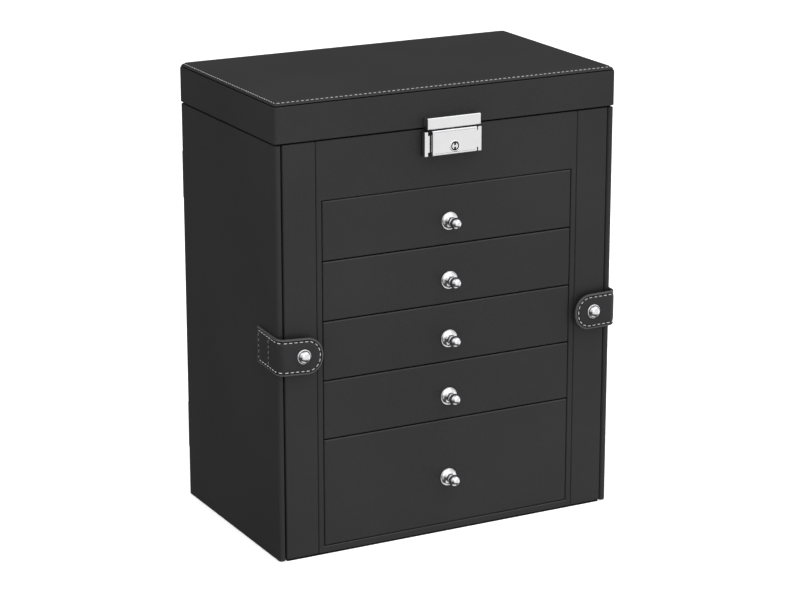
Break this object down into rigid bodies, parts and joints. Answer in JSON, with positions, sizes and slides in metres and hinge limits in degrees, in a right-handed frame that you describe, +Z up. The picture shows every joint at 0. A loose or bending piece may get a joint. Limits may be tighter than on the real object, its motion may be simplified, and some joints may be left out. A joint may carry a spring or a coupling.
{
  "type": "leather jewelry box",
  "caption": "Upright leather-covered jewelry box with stacked drawers, a locking lid with a mirror, and two side doors held by snap straps.",
  "frame": {"origin": "middle of the footprint, on the surface that the box stands on", "axes": "+X right as seen from the front, +Y to the back, +Z up"},
  "size_m": [0.284, 0.1829, 0.3436],
  "materials": {
    "leather": "near-matte black, fine grain",
    "velvet": "short dark grey velvet",
    "lined_wood": "board covered in dark velvet",
    "felt": "matte black felt",
    "chrome": "polished",
    "steel": "bright nickel plate",
    "mirror": "silvered glass",
    "foam": "velvet over soft foam"
  },
  "bodies": {
    "case": {"base_felt": "felt", "base_board": "lined_wood", "back_board": "leather", "left_partition": "lined_wood", "right_partition": "lined_wood", "left_pillar": "leather", "right_pillar": "leather", "front_frame": "leather", "tray_floor": "lined_wood", "drawer_shelf_1": "lined_wood", "drawer_shelf_2": "lined_wood", "drawer_shelf_3": "lined_wood", "drawer_shelf_4": "lined_wood", "tray_rim": "lined_wood", "tray_liner": "velvet", "ring_cushion": "foam", "lock_plate": "chrome", "lock_spring": "steel", "case_hinge_leaves": "steel", "hinge_pins": "steel", "snap_bases": "chrome"},
    "lid": {"lid_frame": "leather", "lid_panel": "leather", "lid_lining": "velvet", "lid_mirror": "mirror", "hasp_plate": "chrome", "lid_hinge_leaves": "steel"},
    "lock_cover": {"lock_cover": "chrome"},
    "lock_cylinder": {"lock_cylinder": "chrome"},
    "drawer_1": {"drawer_1_front": "leather", "drawer_1_box": "lined_wood", "drawer_1_knob": "chrome", "drawer_1_divider": "velvet"},
    "drawer_2": {"drawer_2_front": "leather", "drawer_2_box": "lined_wood", "drawer_2_knob": "chrome", "drawer_2_divider": "velvet"},
    "drawer_3": {"drawer_3_front": "leather", "drawer_3_box": "lined_wood", "drawer_3_knob": "chrome"},
    "drawer_4": {"drawer_4_front": "leather", "drawer_4_box": "lined_wood", "drawer_4_knob": "chrome"},
    "drawer_5": {"drawer_5_front": "leather", "drawer_5_box": "lined_wood", "drawer_5_knob": "chrome"},
    "left_door": {"left_door_board": "leather", "left_door_lining": "velvet", "left_hook_rail": "steel", "left_door_hinge_leaves": "steel", "left_strap_root": "leather"},
    "left_strap": {"left_strap_flap": "leather", "left_snap_button": "chrome"},
    "right_door": {"right_door_board": "leather", "right_door_lining": "velvet", "right_hook_rail": "steel", "right_door_hinge_leaves": "steel", "right_strap_root": "leather"},
    "right_strap": {"right_strap_flap": "leather", "right_snap_button": "chrome"}
  },
  "joints": [
    {"name": "lid_hinge", "type": "hinge", "parent": "case", "child": "lid", "pos_m": [0, 0.0845, 0.3132], "axis": [-1, 0, 0], "range_deg": [0, 95]},
    {"name": "lock_cover_slide", "type": "slide", "parent": "case", "child": "lock_cover", "axis": [0, 0, -1], "range_m": [0, 0.004], "stiffness_N_per_m": 300, "springref_m": -0.002, "deforming": ["lock_spring"]},
    {"name": "lock_cylinder_turn", "type": "hinge", "parent": "lock_cover", "child": "lock_cylinder", "pos_m": [0, -0.088, 0.2995], "axis": [0, 1, 0], "range_deg": [0, 90]},
    {"name": "drawer_1_slide", "type": "slide", "parent": "case", "child": "drawer_1", "axis": [0, -1, 0], "range_m": [0, 0.11]},
    {"name": "drawer_2_slide", "type": "slide", "parent": "case", "child": "drawer_2", "axis": [0, -1, 0], "range_m": [0, 0.11]},
    {"name": "drawer_3_slide", "type": "slide", "parent": "case", "child": "drawer_3", "axis": [0, -1, 0], "range_m": [0, 0.11]},
    {"name": "drawer_4_slide", "type": "slide", "parent": "case", "child": "drawer_4", "axis": [0, -1, 0], "range_m": [0, 0.11]},
    {"name": "drawer_5_slide", "type": "slide", "parent": "case", "child": "drawer_5", "axis": [0, -1, 0], "range_m": [0, 0.11]},
    {"name": "left_door_hinge", "type": "hinge", "parent": "case", "child": "left_door", "pos_m": [-0.1367, 0.0845, 0.1566], "axis": [0, 0, -1], "range_deg": [0, 110]},
    {"name": "left_strap_bend", "type": "hinge", "parent": "left_door", "child": "left_strap", "pos_m": [-0.14024, -0.08694, 0.1575], "axis": [0, 0, -1], "range_deg": [0, 110]},
    {"name": "right_door_hinge", "type": "hinge", "parent": "case", "child": "right_door", "pos_m": [0.1367, 0.0845, 0.1566], "axis": [0, 0, 1], "range_deg": [0, 110]},
    {"name": "right_strap_bend", "type": "hinge", "parent": "right_door", "child": "right_strap", "pos_m": [0.14024, -0.08694, 0.1575], "axis": [0, 0, 1], "range_deg": [0, 110]}
  ]
}
